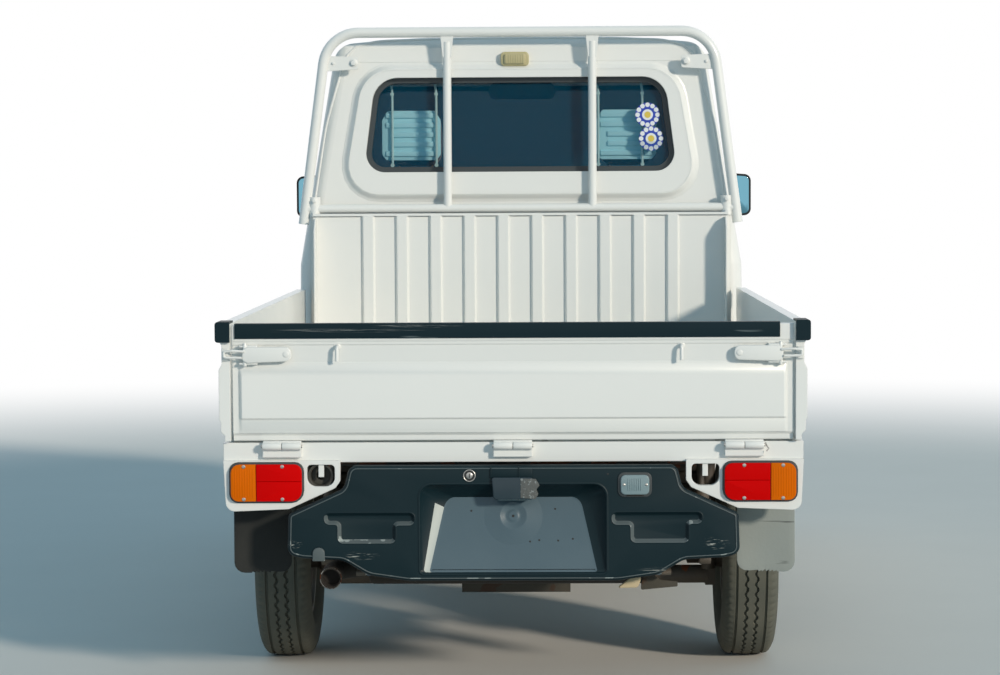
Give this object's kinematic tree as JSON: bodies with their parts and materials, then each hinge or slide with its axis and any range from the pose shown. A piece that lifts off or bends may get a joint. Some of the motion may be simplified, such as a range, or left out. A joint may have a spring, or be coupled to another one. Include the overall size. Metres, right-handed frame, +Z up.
{
  "type": "kei truck with drop-side bed",
  "caption": "Small cab-over pickup truck with a drop-side flat bed, rear engine and tube guard behind the cab.",
  "frame": {"origin": "on the ground under the middle of the truck", "axes": "+Y forward, +X to the driver's side on the right, +Z up"},
  "size_m": [1.602, 3.295, 1.736],
  "materials": {
    "white_paint": "gloss",
    "chassis_paint": "satin",
    "dark_plastic": "matte",
    "rubber": "matte",
    "tyre": "matte",
    "wheel_paint": "satin",
    "cast_metal": "rough",
    "rusty_steel": "rough",
    "glass": "gloss",
    "red_lens": "gloss",
    "amber_lens": "gloss",
    "clear_lens": "gloss",
    "bumper_plastic": "satin",
    "cab_plastic": "matte",
    "seat_cloth": "woven"
  },
  "bodies": {
    "wheel_front_right": {"tyre_front_right": "tyre", "rim_front_right": "wheel_paint"},
    "wheel_front_left": {"tyre_front_left": "tyre", "rim_front_left": "wheel_paint"},
    "wheel_rear_right": {"tyre_rear_right": "tyre", "rim_rear_right": "wheel_paint"},
    "wheel_rear_left": {"tyre_rear_left": "tyre", "rim_rear_left": "wheel_paint"},
    "steer_right": {"knuckle_right": "cast_metal"},
    "steer_left": {"knuckle_left": "cast_metal"},
    "steering_wheel": {"steering_wheel": "cab_plastic"},
    "door_right": {"door_right": "white_paint", "door_glass_right": "glass", "mirror_right": "dark_plastic"},
    "door_left": {"door_left": "white_paint", "door_glass_left": "glass", "mirror_left": "dark_plastic"},
    "tailgate": {"tailgate": "white_paint", "tailgate_rubber": "rubber"},
    "side_gate_right": {"side_gate_right": "white_paint", "gate_cap_right": "rubber"},
    "side_gate_left": {"side_gate_left": "white_paint", "gate_cap_left": "rubber"},
    "engine_lid": {"engine_lid": "dark_plastic", "lid_lamps": "clear_lens"},
    "root": {"frame_rails": "chassis_paint", "cross_members": "chassis_paint", "bed_floor": "white_paint", "side_sills": "white_paint", "headboard": "white_paint", "headboard_posts": "white_paint", "guard_frame": "white_paint", "rear_sill": "white_paint", "tail_lamps_red": "red_lens", "tail_lamps_amber": "amber_lens", "front_suspension": "chassis_paint", "rear_suspension": "chassis_paint", "engine_block": "cast_metal", "exhaust": "rusty_steel", "driveline": "cast_metal", "spare_tyre": "tyre", "spare_rim": "wheel_paint", "fuel_tank": "chassis_paint", "mudflaps": "rubber", "cab_roof": "white_paint", "cab_rear_wall": "white_paint", "cab_side_right": "white_paint", "cab_side_left": "white_paint", "front_panel": "white_paint", "headlamps": "clear_lens", "front_bumper": "bumper_plastic", "front_signals": "amber_lens", "wipers": "dark_plastic", "cab_floor": "white_paint", "window_seals": "rubber", "windscreen": "glass", "rear_window": "glass", "dashboard": "cab_plastic", "seats": "seat_cloth", "cab_controls": "cab_plastic"}
  },
  "joints": [
    {"name": "wheel_front_right", "type": "hinge", "parent": "steer_right", "child": "wheel_front_right", "pos_m": [0.61, 1.0075, 0.268], "axis": [1, 0, 0], "continuous": true},
    {"name": "wheel_front_left", "type": "hinge", "parent": "steer_left", "child": "wheel_front_left", "pos_m": [-0.61, 1.0075, 0.268], "axis": [1, 0, 0], "continuous": true},
    {"name": "wheel_rear_right", "type": "hinge", "parent": "root", "child": "wheel_rear_right", "pos_m": [0.605, -0.8775, 0.268], "axis": [1, 0, 0], "continuous": true},
    {"name": "wheel_rear_left", "type": "hinge", "parent": "root", "child": "wheel_rear_left", "pos_m": [-0.605, -0.8775, 0.268], "axis": [1, 0, 0], "continuous": true},
    {"name": "steer_left", "type": "hinge", "parent": "root", "child": "steer_left", "pos_m": [-0.53, 1.0075, 0.268], "axis": [0, 0, 1], "range_deg": [-33, 33]},
    {"name": "steer_right", "type": "hinge", "parent": "root", "child": "steer_right", "pos_m": [0.53, 1.0075, 0.268], "axis": [0, 0, 1], "range_deg": [-33, 33]},
    {"name": "steering_wheel", "type": "hinge", "parent": "root", "child": "steering_wheel", "pos_m": [0.332, 1.1085, 1.0797], "axis": [0, -0.5039, 0.8638], "range_deg": [-528, 528]},
    {"name": "door_right", "type": "hinge", "parent": "root", "child": "door_right", "pos_m": [0.697, 1.5, 1], "axis": [0, 0, 1], "range_deg": [0, 70]},
    {"name": "door_left", "type": "hinge", "parent": "root", "child": "door_left", "pos_m": [-0.697, 1.5, 1], "axis": [0, 0, -1], "range_deg": [0, 70]},
    {"name": "tailgate", "type": "hinge", "parent": "root", "child": "tailgate", "pos_m": [0, -1.627, 0.633], "axis": [-1, 0, 0], "range_deg": [-165, 0]},
    {"name": "side_gate_right", "type": "hinge", "parent": "root", "child": "side_gate_right", "pos_m": [0.69, -0.66, 0.633], "axis": [0, -1, 0], "range_deg": [-165, 0]},
    {"name": "side_gate_left", "type": "hinge", "parent": "root", "child": "side_gate_left", "pos_m": [-0.69, -0.66, 0.633], "axis": [0, 1, 0], "range_deg": [-165, 0]},
    {"name": "engine_lid", "type": "hinge", "parent": "root", "child": "engine_lid", "pos_m": [0, -1.6, 0.326], "axis": [1, 0, 0], "range_deg": [0, 80]}
  ],
  "couplings": [
    {"joint": "steer_right", "follows": "steer_left", "ratio": 1},
    {"joint": "steering_wheel", "follows": "steer_left", "ratio": 16}
  ]
}
